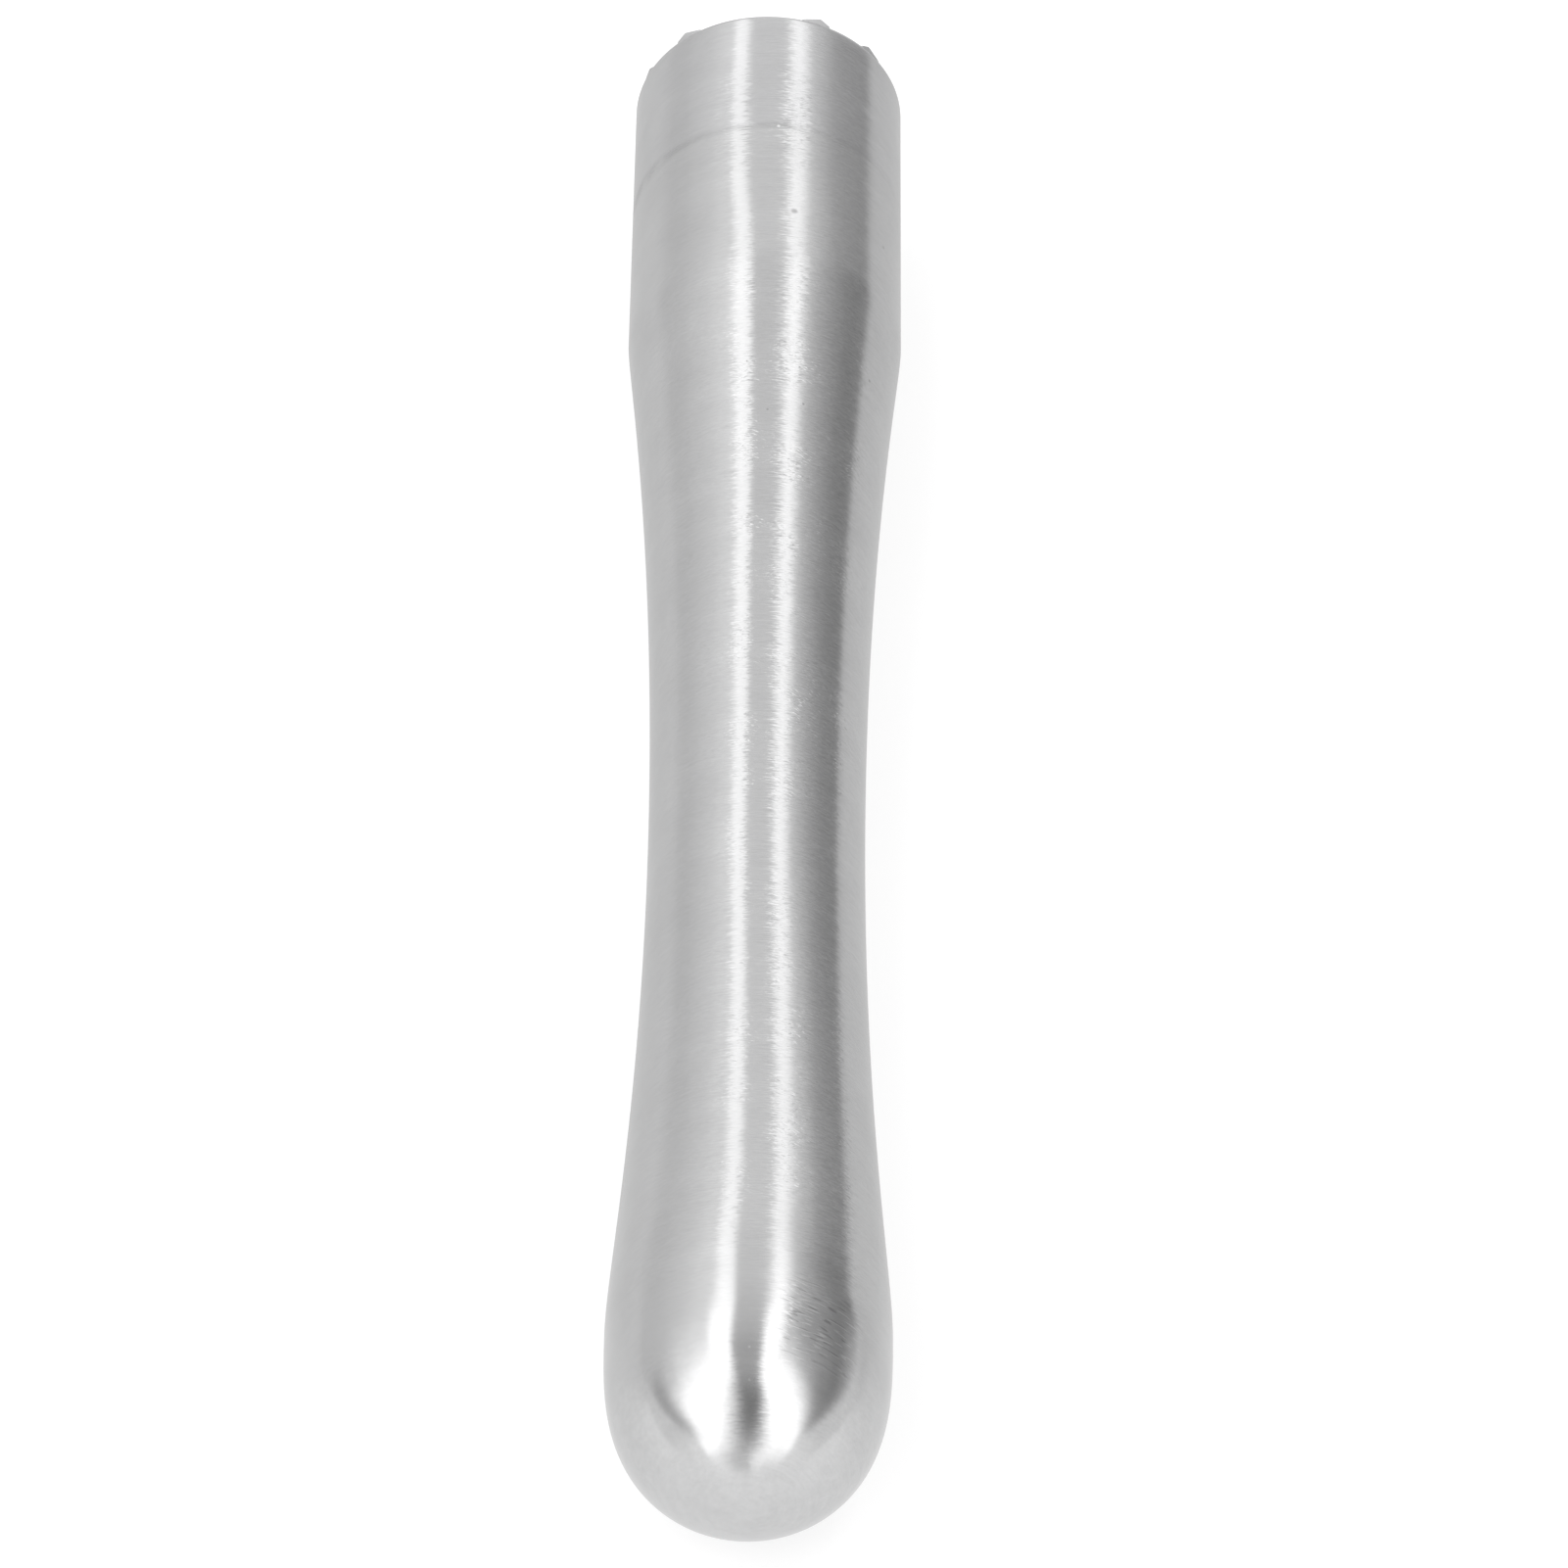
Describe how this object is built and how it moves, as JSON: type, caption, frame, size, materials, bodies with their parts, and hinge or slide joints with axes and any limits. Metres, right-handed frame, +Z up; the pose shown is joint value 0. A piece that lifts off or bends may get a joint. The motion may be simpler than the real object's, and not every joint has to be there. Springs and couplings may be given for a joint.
{
  "type": "cocktail muddler",
  "caption": "Hollow brushed steel bar tool with a toothed head for crushing fruit and herbs, a waisted grip and a rounded end.",
  "frame": {"origin": "on the surface that the tool lies on, under the middle of its length", "axes": "+Y along the tool, from its round end to its toothed head; +Z up from the surface that it lies on"},
  "size_m": [0.032, 0.2139, 0.0323],
  "materials": {
    "head_steel": "satin, brushed round the axis",
    "tube_steel": "satin, brushed round the axis",
    "dome_steel": "satin, brushed round the axis, smoother towards the pole",
    "weld_steel": "ground flush with the shells, a shade darker"
  },
  "bodies": {
    "root": {"toothed_head": "head_steel", "head_weld": "weld_steel", "handle_tube": "tube_steel", "dome_weld": "weld_steel", "dome_cap": "dome_steel"}
  },
  "joints": []
}
